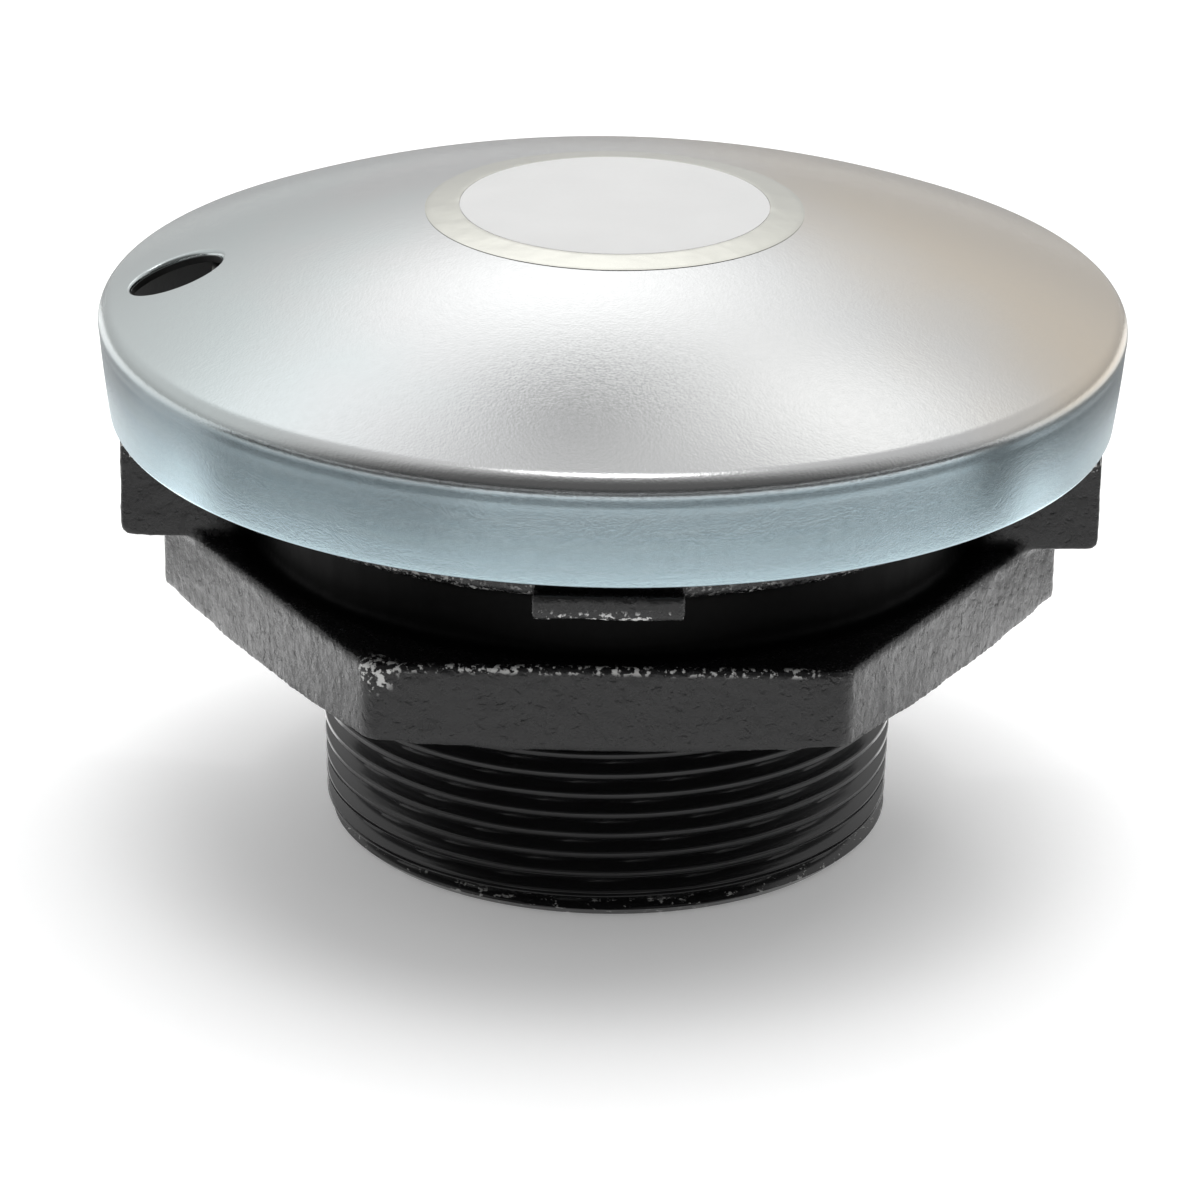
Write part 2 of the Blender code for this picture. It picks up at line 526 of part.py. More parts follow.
def make_valve_body(brass, fibre, steel, axis):
    """The vent's body, clamped through the plate's floor by its washer and nut."""
    ridge_in = SEAT_RIDGE_RADIUS - SEAT_RIDGE_WIDTH / 2
    ridge_out = SEAT_RIDGE_RADIUS + SEAT_RIDGE_WIDTH / 2
    ridge_top = BODY_FLANGE_TOP + SEAT_RIDGE_HEIGHT
    screen_ledge = SCREEN_TOP + SEAT_GAP
    outline = [(VALVE_BORE_RADIUS, screen_ledge), (SCREEN_BORE_RADIUS, screen_ledge),
               (SCREEN_BORE_RADIUS, BARREL_BOTTOM), (BARREL_RADIUS, BARREL_BOTTOM),
               (BARREL_RADIUS, BODY_FLANGE_BOTTOM), (BODY_FLANGE_RADIUS, BODY_FLANGE_BOTTOM),
               (BODY_FLANGE_RADIUS, BODY_FLANGE_TOP), (ridge_out, BODY_FLANGE_TOP),
               (ridge_out, ridge_top), (ridge_in, ridge_top), (ridge_in, BODY_FLANGE_TOP),
               (VALVE_BORE_RADIUS, BODY_FLANGE_TOP)]
    body = add_piece("valve_body", turn(outline, SMALL_STEPS), brass, axis)
    bm = bmesh.new()
    depth = SCREW_GRIP + SEAT_GAP
    for number in range(SCREW_COUNT):
        add_rod(bm, SCREW_RADIUS + SEAT_GAP, BODY_FLANGE_TOP - depth, BODY_FLANGE_TOP + CUT_OVERRUN,
                SCREW_CIRCLE, 360 * number / SCREW_COUNT, TINY_SIDES)
    combine(body, "body_drill", bm, "DIFFERENCE")

    ring = washer(BARREL_RADIUS + SEAT_GAP, BODY_FLANGE_RADIUS - RUNNING_GAP, WASHER_BOTTOM,
                  WASHER_BOTTOM + WASHER_THICKNESS)
    add_piece("valve_washer", ring, fibre, axis)

    bm = bmesh.new()
    nut_corner = (BARREL_RADIUS + NUT_WALL) / cos(pi / 6)
    add_rod(bm, nut_corner, NUT_BOTTOM, NUT_BOTTOM + NUT_HEIGHT, sides=6)
    nut = add_piece("valve_nut", bm, steel, axis)
    bm = bmesh.new()
    add_rod(bm, BARREL_RADIUS + SEAT_GAP, NUT_BOTTOM - CUT_OVERRUN,
            NUT_BOTTOM + NUT_HEIGHT + CUT_OVERRUN, sides=SMALL_STEPS)
    combine(nut, "nut_drill", bm, "DIFFERENCE")


def make_screen_and_guard(brass, steel, axis):
    """The perforated screen in the body's mouth, and the slotted cup that keeps fuel off it."""
    bm = bmesh.new()
    add_rod(bm, SCREEN_BORE_RADIUS - SEAT_GAP, SCREEN_TOP - SCREEN_THICKNESS, SCREEN_TOP,
            sides=SMALL_STEPS)
    screen = add_piece("vent_screen", bm, brass, axis)
    bm = bmesh.new()
    for ring, holes in enumerate((1, 6, 12)):
        for number in range(holes):
            add_rod(bm, SCREEN_HOLE_DIAMETER / 2, SCREEN_TOP - SCREEN_THICKNESS - CUT_OVERRUN,
                    SCREEN_TOP + CUT_OVERRUN, SCREEN_RING_PITCH * ring, 360 * number / holes,
                    TINY_SIDES)
    combine(screen, "screen_drill", bm, "DIFFERENCE")

    inside = BARREL_RADIUS + SEAT_GAP
    outside = inside + GUARD_WALL
    top = NUT_BOTTOM - SEAT_GAP
    bottom = BARREL_BOTTOM - GUARD_DROP
    outline = [(0, bottom), (outside, bottom), (outside, top), (inside, top),
               (inside, bottom + GUARD_WALL), (0, bottom + GUARD_WALL)]
    guard = add_piece("splash_guard", turn(outline, SMALL_STEPS), steel, axis)
    for azimuth in (0, 90):
        bm = bmesh.new()
        add_bar(bm, GUARD_WINDOW_WIDTH, outside + CUT_OVERRUN, bottom + GUARD_WALL + SEAT_GAP,
                BARREL_BOTTOM - SEAT_GAP, azimuth)
        combine(guard, f"guard_window_cutter_{azimuth}", bm, "DIFFERENCE")


def make_cage(steel, axis):
    """The bridge over the pressure spring, with open sides, and its screws."""
    outer = CAGE_RADIUS + CAGE_WALL
    base_top = CAGE_BOTTOM + CAGE_WALL
    roof_top = CAGE_ROOF + CAGE_WALL
    stem_hole = STEM_RADIUS + CAGE_STEM_CLEARANCE
    outline = [(CAGE_RADIUS, CAGE_BOTTOM), (CAGE_RADIUS + CAGE_BASE_WIDTH, CAGE_BOTTOM),
               (CAGE_RADIUS + CAGE_BASE_WIDTH, base_top), (outer, base_top), (outer, roof_top),
               (stem_hole, roof_top), (stem_hole, CAGE_ROOF),
               (CAGE_RADIUS, CAGE_ROOF)]
    cage = add_piece("valve_cage", turn(outline, SMALL_STEPS), steel, axis)
    for azimuth in (30, 120):
        bm = bmesh.new()
        add_bar(bm, CAGE_WINDOW_WIDTH, outer + CUT_OVERRUN, base_top + SEAT_GAP,
                CAGE_ROOF - SEAT_GAP, azimuth)
        combine(cage, f"cage_window_cutter_{azimuth}", bm, "DIFFERENCE")
    bm = bmesh.new()
    for number in range(SCREW_COUNT):
        add_rod(bm, SCREW_RADIUS + SEAT_GAP, CAGE_BOTTOM - CUT_OVERRUN, base_top + CUT_OVERRUN,
                SCREW_CIRCLE, 360 * number / SCREW_COUNT, TINY_SIDES)
    combine(cage, "cage_drill", bm, "DIFFERENCE")

    head = base_top + SEAT_GAP
    outline = [(0, BODY_FLANGE_TOP - SCREW_GRIP), (SCREW_RADIUS, BODY_FLANGE_TOP - SCREW_GRIP),
               (SCREW_RADIUS, head), (SCREW_HEAD_RADIUS, head),
               (SCREW_HEAD_RADIUS, head + SCREW_HEAD_HEIGHT), (0, head + SCREW_HEAD_HEIGHT)]
    for number in range(SCREW_COUNT):
        screw = turn(outline, TINY_SIDES)
        place = Matrix.Rotation(2 * pi * number / SCREW_COUNT, 4, "Z") @ Matrix.Translation(
            (SCREW_CIRCLE, 0, 0))
        bmesh.ops.transform(screw, matrix=place, verts=screw.verts)
        add_piece(f"cage_screw_{number + 1}", screw, steel, axis)


def make_coil(name, radius, wire, bottom, top, turns, material, axis):
    """A coil spring whose first and last quarter turns lie flat."""
    curve = bpy.data.curves.new(name, "CURVE")
    curve.dimensions = "3D"
    curve.bevel_depth = wire / 2
    curve.bevel_resolution = 1
    curve.use_fill_caps = True
    curve.materials.append(material)
    flat = 0.25
    count = round(turns * COIL_STEPS)
    spline = curve.splines.new("POLY")
    spline.points.add(count)
    for step in range(count + 1):
        turned_by = turns * step / count
        rise = min(max((turned_by - flat) / (turns - 2 * flat), 0), 1)
        height = bottom + wire / 2 + (top - bottom - wire) * rise
        angle = 2 * pi * turned_by
        spline.points[step].co = (radius * cos(angle), radius * sin(angle), height, 1)
    coil = bpy.data.objects.new(name, curve)
    coil.parent = axis
    bpy.context.scene.collection.objects.link(coil)


def make_pressure_valve(brass, rubber, spring_steel, axis):
    """The plate that lifts against its coil when the tank's pressure rises."""
    disc_rim = DISC_RADIUS - DISC_RIM_WIDTH
    rim_bottom = DISC_SEAL_BOTTOM + DISC_SEAL_THICKNESS / 2
    hole = STEM_RADIUS + SEAT_GAP
    outline = [(hole, DISC_BOTTOM), (disc_rim, DISC_BOTTOM), (disc_rim, rim_bottom),
               (DISC_RADIUS, rim_bottom), (DISC_RADIUS, DISC_TOP), (hole, DISC_TOP)]
    disc = add_piece("pressure_disc", turn(outline, SMALL_STEPS), brass, axis)
    bm = bmesh.new()
    for number in range(DISC_PORT_COUNT):
        add_rod(bm, DISC_PORT_DIAMETER / 2, DISC_BOTTOM - CUT_OVERRUN, DISC_TOP + CUT_OVERRUN,
                DISC_PORT_REACH, 360 * number / DISC_PORT_COUNT, TINY_SIDES)
    combine(disc, "port_drill", bm, "DIFFERENCE")
    seal = washer(DISC_SEAL_RADIUS - DISC_SEAL_WIDTH, DISC_SEAL_RADIUS, DISC_SEAL_BOTTOM,
                  DISC_SEAL_BOTTOM + DISC_SEAL_THICKNESS)
    add_piece("pressure_seal", seal, rubber, axis)
    make_coil("pressure_spring", PRESSURE_SPRING_RADIUS, PRESSURE_WIRE, COIL_BOTTOM,
              CAGE_ROOF - SEAT_GAP, PRESSURE_TURNS, spring_steel, axis)


def make_vacuum_valve(brass, rubber, spring_steel, axis):
    """The poppet that drops to let air in, hung on its own small coil."""
    head_top = DISC_SEAL_BOTTOM - SEAT_GAP
    groove = STEM_RADIUS - CLIP_GROOVE_DEPTH
    groove_bottom = CLIP_BOTTOM - SEAT_GAP / 2
    groove_top = CLIP_BOTTOM + CLIP_THICKNESS + SEAT_GAP / 2
    outline = [(0, head_top - POPPET_THICKNESS), (POPPET_RADIUS, head_top - POPPET_THICKNESS),
               (POPPET_RADIUS, head_top), (STEM_RADIUS, head_top), (STEM_RADIUS, groove_bottom),
               (groove, groove_bottom), (groove, groove_top), (STEM_RADIUS, groove_top),
               (STEM_RADIUS, STEM_TOP), (0, STEM_TOP)]
    add_piece("vacuum_poppet", turn(outline, SMALL_STEPS), brass, axis)
    add_piece("vacuum_seal", washer(STEM_RADIUS + SEAT_GAP, VACUUM_SEAL_RADIUS, DISC_SEAL_BOTTOM,
                                    DISC_SEAL_BOTTOM + DISC_SEAL_THICKNESS), rubber, axis)
    make_coil("vacuum_spring", VACUUM_SPRING_RADIUS, VACUUM_WIRE, COIL_BOTTOM,
              CLIP_BOTTOM - SEAT_GAP, VACUUM_TURNS, spring_steel, axis)
    add_piece("stem_clip", washer(groove + SEAT_GAP, CLIP_RADIUS, CLIP_BOTTOM,
                                  CLIP_BOTTOM + CLIP_THICKNESS), spring_steel, axis)


def main():
    clear_scene()
    iron = make_material("black_painted_iron", (0.022, 0.022, 0.024), 0.55, 0.3)
    zinc = make_material("zinc_plated_steel", (0.62, 0.64, 0.65), 0.3, 1.0)
    paper = make_material("white_sticker", (0.86, 0.86, 0.85), 0.45, 0.0)
    film = make_material("clear_film", (0.7, 0.69, 0.62), 0.35, 0.0)
    steel = make_material("pressed_steel", (0.5, 0.5, 0.49), 0.4, 1.0)
    spring_steel = make_material("spring_steel", (0.32, 0.32, 0.33), 0.35, 1.0)
    brass = make_material("turned_brass", (0.72, 0.53, 0.25), 0.35, 1.0)
    rubber = make_material("nitrile_rubber", (0.02, 0.02, 0.02), 0.8, 0.0)
    fibre = make_material("red_fibre", (0.35, 0.08, 0.05), 0.8, 0.0)

    base_axis = make_axis("base_axis")
    carrier_axis = make_axis("carrier_axis", base_axis)
    slip_axis = make_axis("slip_axis", base_axis)
    cap_axis = make_axis("cap_axis", slip_axis)
    pressure_axis = make_axis("pressure_axis", cap_axis)
    vacuum_axis = make_axis("vacuum_axis", pressure_axis)

    make_base(iron, base_axis)
    make_gasket_stack(steel, rubber, spring_steel, carrier_axis, slip_axis)
    make_cap_shell(zinc, cap_axis)
    make_sticker(paper, film, cap_axis)
    make_bayonet_plate(steel, cap_axis)
    make_valve_body(brass, fibre, steel, cap_axis)
    make_screen_and_guard(brass, steel, cap_axis)
    make_cage(steel, cap_axis)
    make_pressure_valve(brass, rubber, spring_steel, pressure_axis)
    make_vacuum_valve(brass, rubber, spring_steel, vacuum_axis)


main()
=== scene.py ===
from math import asin, cos, pi, radians, sin, sqrt

import bmesh
import bpy
import numpy as np
from mathutils import Matrix, Vector, noise


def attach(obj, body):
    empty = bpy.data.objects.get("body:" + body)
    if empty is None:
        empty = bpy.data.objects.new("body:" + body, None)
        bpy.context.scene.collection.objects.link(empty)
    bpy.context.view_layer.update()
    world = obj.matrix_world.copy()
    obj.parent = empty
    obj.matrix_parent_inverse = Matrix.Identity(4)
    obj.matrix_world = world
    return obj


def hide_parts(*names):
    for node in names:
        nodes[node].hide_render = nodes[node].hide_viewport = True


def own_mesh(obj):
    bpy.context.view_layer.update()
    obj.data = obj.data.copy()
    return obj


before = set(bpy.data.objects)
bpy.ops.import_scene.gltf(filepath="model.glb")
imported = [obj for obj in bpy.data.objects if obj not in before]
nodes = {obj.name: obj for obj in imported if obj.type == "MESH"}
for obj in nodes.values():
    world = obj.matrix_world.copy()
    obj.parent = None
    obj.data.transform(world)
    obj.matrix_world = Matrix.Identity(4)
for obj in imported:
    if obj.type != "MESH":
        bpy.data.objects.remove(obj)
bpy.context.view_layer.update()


# Camera. The photograph looks down a little on the cap from straight in front, through a long
# lens, so the hexagon's near face is square to the picture.
MM = 0.001
AIM = Vector((0, 0, 22.8 * MM))
VIEW_DISTANCE = 560 * MM
VIEW_ELEVATION = radians(22.4)
VIEW_ROLL = radians(0.9)
lens = bpy.data.cameras.new("camera")
lens.sensor_width = 36
lens.lens = 160.5
lens.shift_x = -0.0072
lens.shift_y = 0.0
lens.clip_end = 20
camera = bpy.data.objects.new("camera", lens)
toward_viewer = Vector((0, -cos(VIEW_ELEVATION), sin(VIEW_ELEVATION)))
camera.matrix_world = (Matrix.Translation(AIM + toward_viewer * VIEW_DISTANCE)
                       @ Matrix.Rotation(pi / 2 - VIEW_ELEVATION, 4, "X")
                       @ Matrix.Rotation(VIEW_ROLL, 4, "Z"))
bpy.context.scene.collection.objects.link(camera)
bpy.context.scene.camera = camera
bpy.context.scene.view_settings.view_transform = "Standard"


# Floor. A wide sheet of white background paper that the cap stands on.
class Value:
    """A socket's value in a shader. Arithmetic on it adds Math nodes."""

    def __init__(self, shader, socket):
        self.shader = shader
        self.socket = socket

    def math(self, operation, *values):
        return self.shader.node("Math", {"operation": operation}, dict(enumerate(values)))

    def __add__(self, other):
        return self.math("ADD", self, other)

    def __sub__(self, other):
        return self.math("SUBTRACT", self, other)

    def __rsub__(self, other):
        return self.math("SUBTRACT", other, self)

    def __mul__(self, other):
        return self.math("MULTIPLY", self, other)

    def __truediv__(self, other):
        return self.math("DIVIDE", self, other)

    def __pow__(self, exponent):
        return self.math("POWER", self, exponent)

    __radd__ = __add__
    __rmul__ = __mul__


class Shader:
    """The node tree of a material or of the studio, filled in node by node."""

    def __init__(self, owner):
        owner.use_nodes = True
        self.owner = owner
        self.tree = owner.node_tree
        self.tree.nodes.clear()

    def node(self, kind, settings=(), inputs=(), output=0):
        made = self.tree.nodes.new("ShaderNode" + kind)
        for name, setting in dict(settings).items():
            setattr(made, name, setting)
        for name, value in dict(inputs).items():
            socket = made.inputs[name]
            if isinstance(value, Value):
                self.tree.links.new(value.socket, socket)
            elif socket.type == "RGBA":
                socket.default_value = (*value, 1)
            else:
                socket.default_value = value
        return Value(self, made.outputs[output])

    def place(self):
        return self.node("TexCoord", output="Object")

    def grain(self, size, detail=3.0, roughness=0.55, place=None, stretch=(1, 1, 1)):
        """Noise between 0 and 1 whose blobs are about size metres across."""
        scaled = self.node("VectorMath", {"operation": "MULTIPLY"},
                           {0: place or self.place(), 1: [s / size for s in stretch]})
        return self.node("TexNoise", (), {"Vector": scaled, "Scale": 1.0, "Detail": detail,
                                          "Roughness": roughness})

    def step(self, value, low, high):
        """0 below low, 1 above high, and smooth between them."""
        return self.node("MapRange", {"interpolation_type": "SMOOTHSTEP"},
                         {"Value": value, "From Min": low, "From Max": high})

    def mix(self, factor, first, second):
        """A colour between two, or between a colour and another's result."""
        return self.node("Mix", {"data_type": "RGBA"}, {0: factor, 6: first, 7: second}, output=2)

    def part_of(self, axis):
        """One coordinate of the shaded point, in the piece's own space."""
        return self.node("SeparateXYZ", (), {0: self.place()}, output=axis)

    def principled(self, height=None, depth=0.1 * MM, **sockets):
        """A Principled shader with, if asked, a bump of that depth."""
        values = {name.replace("_", " "): value for name, value in sockets.items()}
        if height is not None:
            values["Normal"] = self.node("Bump", (), {"Strength": 1.0, "Distance": depth,
                                                      "Height": height})
        return self.node("BsdfPrincipled", (), values)

    def close(self, shader):
        """Make this shader the material's surface."""
        out = self.tree.nodes.new("ShaderNodeOutputMaterial")
        self.tree.links.new(shader.socket, out.inputs["Surface"])
        return self.owner

    def surface(self, **sockets):
        """Close the tree with a single Principled shader."""
        return self.close(self.principled(**sockets))


def paint(node, material):
    """Give a CAD node its finished material."""
    mesh = nodes[node].data
    mesh.materials.clear()
    mesh.materials.append(material)


paper = Shader(bpy.data.materials.new("background_paper"))
fibres = paper.grain(1.5 * MM)
floor_paper = paper.surface(
    Base_Color=paper.mix(fibres, (0.84, 0.84, 0.84), (0.88, 0.88, 0.88)), Roughness=0.9,
    Emission_Color=(1, 1, 1), Emission_Strength=0.22,
    height=fibres, depth=0.02 * MM)
FLOOR_REACH = 3.0
bm = bmesh.new()
bmesh.ops.create_grid(bm, x_segments=2, y_segments=2, size=FLOOR_REACH)
floor_mesh = bpy.data.meshes.new("floor")
bm.to_mesh(floor_mesh)
bm.free()
floor_mesh.materials.append(floor_paper)
floor = bpy.data.objects.new("floor", floor_mesh)
bpy.context.scene.collection.objects.link(floor)


# Light. A white studio: soft boxes behind the cap with a narrow gap between two of them, a small
# bright one overhead, and a dim room on the viewer's side. An overhead sun whitens the paper.
# Cards on the paper that only reflections see stand for what plated metal and gloss paint mirror.
SOFT_BOXES = (
    # azimuth from the back and elevation, spread, strength (a gap's is negative), colour
    (-2.7, 37.9, 8.3, 1.15, (1.0, 1.0, 1.0)),
    (25.9, 51.7, 6.7, 0.95, (1.0, 0.99, 0.97)),
    (-32.2, 49.5, 8.9, 0.70, (0.97, 0.99, 1.02)),
    (-5.0, 58.6, 2.6, -0.75, (1.0, 1.0, 1.0)),
    (0, 89, 4.5, 9.0, (1.0, 1.0, 1.0)),
)
FRONT_BOX = 0.07
BACK_LEVEL = 0.86
HORIZON_SHARE = 0.70
FRONT_LEVEL = 0.09
CARD_HEIGHT = 0.5 * MM
CARDS = (
    # azimuth from the front, from and to; radius, from and to; brightness
    (-180, 180, 31.5, 36, 0.02),
    (-175, -100, 38, 74, 1.9),
    (100, 175, 38, 74, 1.7),
    (-113, -88, 76, 103, 2.6),
    (88, 113, 76, 103, 2.4),
    (-50, 50, 92, 113, 1.1),
    (-86, 86, 115, 138, 0.01),
    (-180, -100, 104, 140, 1.0),
    (100, 180, 104, 140, 0.85),
    (-180, -114, 140, 206, 0.65),
    (-114, -76, 140, 206, 1.10),
    (-76, -28, 140, 206, 1.45),
    (-28, 75, 140, 206, 2.25),
    (75, 91, 140, 206, 0.25),
    (91, 180, 140, 206, 0.42),
    (-86, 86, 208, 900, 0.08),
    (150, 210, 208, 1500, 0.5),
)
studio = Shader(bpy.data.worlds.new("studio"))
bpy.context.scene.world = studio.owner
ray = studio.node("TexCoord", output="Generated")
toward_back = studio.node("SeparateXYZ", (), {0: ray}, output="Y")
upward = studio.node("SeparateXYZ", (), {0: ray}, output="Z")
backness = studio.step(toward_back, -0.75, 0.1)
height_share = HORIZON_SHARE + studio.step(upward, 0.04, 0.42) * (1 - HORIZON_SHARE)
level = FRONT_LEVEL + backness * height_share * (BACK_LEVEL - FRONT_LEVEL)
fill = (1 - backness) * studio.step(upward, 0.15, 0.4) * (1 - studio.step(upward, 0.75, 0.95))
glow = studio.node("VectorMath", {"operation": "SCALE"},
                   {0: (1, 1, 1), "Scale": level + fill * FRONT_BOX})
for azimuth, elevation, width, strength, colour in SOFT_BOXES:
    azimuth, elevation = radians(azimuth), radians(elevation)
    box_way = (sin(azimuth) * cos(elevation), cos(azimuth) * cos(elevation), sin(elevation))
    along = studio.node("VectorMath", {"operation": "DOT_PRODUCT"}, {0: ray, 1: box_way},
                        output="Value")
    share = along.math("MAXIMUM", along, 0) ** (1 / radians(width) ** 2)
    box_glow = studio.node("VectorMath", {"operation": "SCALE"},
                           {0: colour, "Scale": share * strength})
    glow = studio.node("VectorMath", {"operation": "ADD"}, {0: glow, 1: box_glow})
sky = studio.node("Background", (), {"Color": glow, "Strength": 1.0})
studio_out = studio.tree.nodes.new("ShaderNodeOutputWorld")
studio.tree.links.new(sky.socket, studio_out.inputs["Surface"])

for number, (start, end, near, far, brightness) in enumerate(CARDS):
    card_finish = Shader(bpy.data.materials.new(f"card_{number}")).surface(
        Base_Color=(0, 0, 0), Roughness=1.0, Specular_IOR_Level=0.0,
        Emission_Color=(1, 1, 1), Emission_Strength=brightness)
    bm = bmesh.new()
    steps = max(2, round((end - start) / 5))
    inner_edge, outer_edge = [], []
    for i in range(steps + 1):
        way = radians(start + (end - start) * i / steps)
        for edge, reach in ((inner_edge, near * MM), (outer_edge, far * MM)):
            edge.append(bm.verts.new((reach * sin(way), -reach * cos(way), CARD_HEIGHT)))
    for i in range(steps):
        bm.faces.new((inner_edge[i], outer_edge[i], outer_edge[i + 1], inner_edge[i + 1]))
    card_mesh = bpy.data.meshes.new(f"card_{number}")
    bm.to_mesh(card_mesh)
    bm.free()
    card_mesh.materials.append(card_finish)
    card = bpy.data.objects.new(f"card_{number}", card_mesh)
    card.visible_camera = card.visible_diffuse = card.visible_shadow = False
    bpy.context.scene.collection.objects.link(card)

overhead = bpy.data.lights.new("overhead", "SUN")
overhead.energy = 1.5
overhead.angle = radians(50)
overhead_light = bpy.data.objects.new("overhead", overhead)
overhead_light.rotation_euler = (radians(-12), radians(6), 0)
overhead_light.visible_glossy = False
bpy.context.scene.collection.objects.link(overhead_light)


# Base casting. Sand-cast iron, painted black all over: a hexagon for the wrench, a neck with the
# two padlock ears, and the flange that the cap seals on. Its skin is grainy where the mould left
# it and smooth where the bore and the rim are machined.
HEX_BOTTOM = 23.3 * MM
RIM_TOP = 47.8 * MM
CASTING_CELL = 0.42 * MM
CAST_FROM_RADIUS = 33.4 * MM
SAND_COARSE = (4.0 * MM, 0.08 * MM)
SAND_MIDDLE = (1.4 * MM, 0.04 * MM)
SAND_FINE = (0.7 * MM, 0.06 * MM)
GROOVE_SMOOTHNESS = 0.7


def link(name, mesh, material):
    """Put a new visible piece of this mesh and material in the scene."""
    mesh.materials.clear()
    mesh.materials.append(material)
    piece = bpy.data.objects.new(name, mesh)
    bpy.context.scene.collection.objects.link(piece)
    return piece


def finished(piece):
    """Replace a piece's mesh by what its modifiers make of it."""
    bpy.context.view_layer.update()
    made = piece.evaluated_get(bpy.context.evaluated_depsgraph_get())
    mesh = bpy.data.meshes.new_from_object(made)
    piece.modifiers.clear()
    piece.data = mesh
    return mesh


HEX_TOP = 32.3 * MM
HEX_REACH = 40.5 * MM
FLANGE_BOTTOM = 39.8 * MM
FLANGE_RADIUS = 42.0 * MM
LUG_BOTTOM = 41.0 * MM
LUG_REACH = 50.2 * MM
# A spot at the hexagon's front left corner where painted glints gather.
CORNER_GLINT = (-22.6 * MM, -40.2 * MM, 31.6 * MM)

iron = Shader(bpy.data.materials.new("black_painted_iron"))
sand = iron.grain(0.42 * MM, 4, 0.66, stretch=(1, 1, 0.75))
pits = iron.step(iron.grain(0.8 * MM, 2, 0.5), 0.3, 0.44)
gloss = iron.grain(1.1 * MM, 3, 0.6)
casting_place = iron.place()
casting_height = iron.part_of("Z")
casting_back = iron.part_of("Y")
from_axis = iron.node("VectorMath", {"operation": "LENGTH"}, {
    0: iron.node("VectorMath", {"operation": "MULTIPLY"}, {0: casting_place, 1: (1, 1, 0)})},
    output="Value")
hex_reach = 0
for side in (30, 90, 150):
    across_flats = iron.node("VectorMath", {"operation": "DOT_PRODUCT"}, {
        0: casting_place, 1: (cos(radians(side)), sin(radians(side)), 0)}, output="Value")
    hex_reach = across_flats.math("MAXIMUM", hex_reach, across_flats.math("ABSOLUTE", across_flats))
hex_edge = (iron.step(hex_reach, HEX_REACH - 0.9 * MM, HEX_REACH - 0.3 * MM)
            * iron.step(casting_height, HEX_TOP - 1.0 * MM, HEX_TOP - 0.35 * MM)
            * (1 - iron.step(from_axis, 44 * MM, 46.5 * MM) * 0.8)
            * iron.step(casting_back.math("ABSOLUTE", casting_back), 38.6 * MM, 39.8 * MM)
            * (1 - iron.step(casting_height, HEX_TOP + 0.2 * MM, HEX_TOP + 0.8 * MM)))
flange_edge = (iron.step(from_axis, FLANGE_RADIUS - 1.4 * MM, FLANGE_RADIUS - 0.5 * MM)
               * iron.step(casting_height, FLANGE_BOTTOM - 0.2 * MM, FLANGE_BOTTOM + 0.1 * MM)
               * (1 - iron.step(casting_height, FLANGE_BOTTOM + 1.6 * MM, FLANGE_BOTTOM + 2.8 * MM))
               * (1 - iron.step(from_axis, FLANGE_RADIUS + 0.5 * MM, FLANGE_RADIUS + 1.0 * MM)))
lug_edge = (iron.step(from_axis, LUG_REACH - 2.4 * MM, LUG_REACH - 1.0 * MM)
            * (1 - iron.step(casting_height, LUG_BOTTOM + 0.6 * MM, LUG_BOTTOM + 1.5 * MM))
            * iron.step(casting_height, LUG_BOTTOM - 0.4 * MM, LUG_BOTTOM - 0.2 * MM))
from_corner = iron.node("VectorMath", {"operation": "DISTANCE"}, {
    0: casting_place, 1: CORNER_GLINT}, output="Value")
corner_glint = 1 - iron.step(from_corner, 1.2 * MM, 3.0 * MM)
# Painted shade: the neck's groove between the hexagon and the flange, under the cap, gets a darker
# and duller paint with little reflection.
groove = ((1 - iron.step(from_axis, 38.6 * MM, 40.2 * MM))
          * iron.step(casting_height, HEX_TOP - 0.4 * MM, HEX_TOP)
          * (1 - iron.step(casting_height, FLANGE_BOTTOM - 0.6 * MM, FLANGE_BOTTOM)))
# Painted glints: bright grains on the hexagon's top edges, the lugs' lower edges and one corner,
# for rough paint catching the light, laid on as chips of bare metal.
glint_chip_noise = iron.grain(0.62 * MM, 3, 0.6) * 0.8 + iron.grain(9 * MM, 1, 0.5) * 0.2
edges = hex_edge + corner_glint + lug_edge
edges = edges.math("MINIMUM", edges, 1)
painted_glint_chips = iron.step(glint_chip_noise + corner_glint * 0.05, 0.545, 0.60) * edges
# Painted glints as well: grey grains along the flange's lower edge, in stretches, for rough paint
# catching the light.
glinting_stretch = iron.step(iron.grain(7 * MM, 2, 0.5), 0.36, 0.56)
painted_glint_grains = iron.step(iron.grain(0.5 * MM, 3, 0.6), 0.53, 0.61) * flange_edge * glinting_stretch
gloss_paint = iron.principled(
    Base_Color=iron.mix(painted_glint_chips, iron.mix(painted_glint_grains, iron.mix(
        gloss, (0.005, 0.005, 0.0053), (0.012, 0.012, 0.0124)), (0.30, 0.30, 0.295)),
        (0.62, 0.62, 0.61)),
    Roughness=iron.step(gloss, 0.3, 0.7) * 0.16 + 0.15,
    height=sand * 0.55 + pits * 0.25 + gloss * 0.2, depth=0.15 * MM)
shaded_groove_paint = iron.principled(
    Base_Color=iron.mix(gloss, (0.002, 0.002, 0.002), (0.005, 0.005, 0.005)),
    Roughness=0.5, Specular_IOR_Level=0.06)
black_paint = iron.close(iron.node("MixShader", (), {0: groove, 1: gloss_paint, 2: shaded_groove_paint}))

